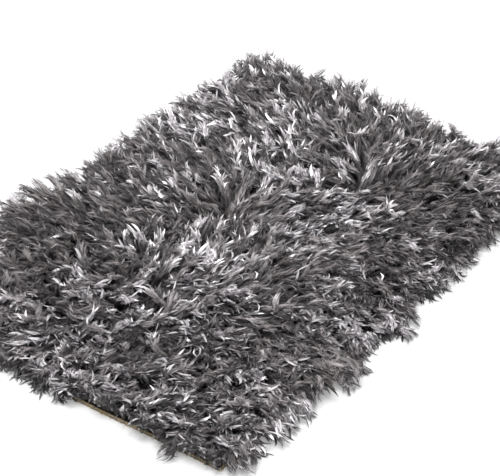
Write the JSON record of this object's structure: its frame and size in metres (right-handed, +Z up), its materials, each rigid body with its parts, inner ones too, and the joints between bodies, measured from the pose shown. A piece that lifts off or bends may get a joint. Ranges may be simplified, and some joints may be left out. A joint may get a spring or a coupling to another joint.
{
  "type": "broadloom carpet",
  "caption": "Rectangular piece cut from broadloom carpet: long, dense grey shag pile with silvery strands, rolled over raw edges, on a thin flat jute backing.",
  "frame": {"origin": "middle of the underside, on the floor", "axes": "+X across the roll, along the short side; +Y down the roll, along the long side; +Z up out of the pile"},
  "size_m": [0.501, 0.71, 0.0372],
  "materials": {
    "jute_backing": "plain-woven jute, dull, with raw cut threads at the edges",
    "grey_yarn": "soft low-twist yarn, cut ends brushed out, faint sheen",
    "lustre_yarn": "flat bright filament, satin lustre"
  },
  "bodies": {
    "root": {"backing": "jute_backing", "pile": "grey_yarn"}
  },
  "joints": []
}
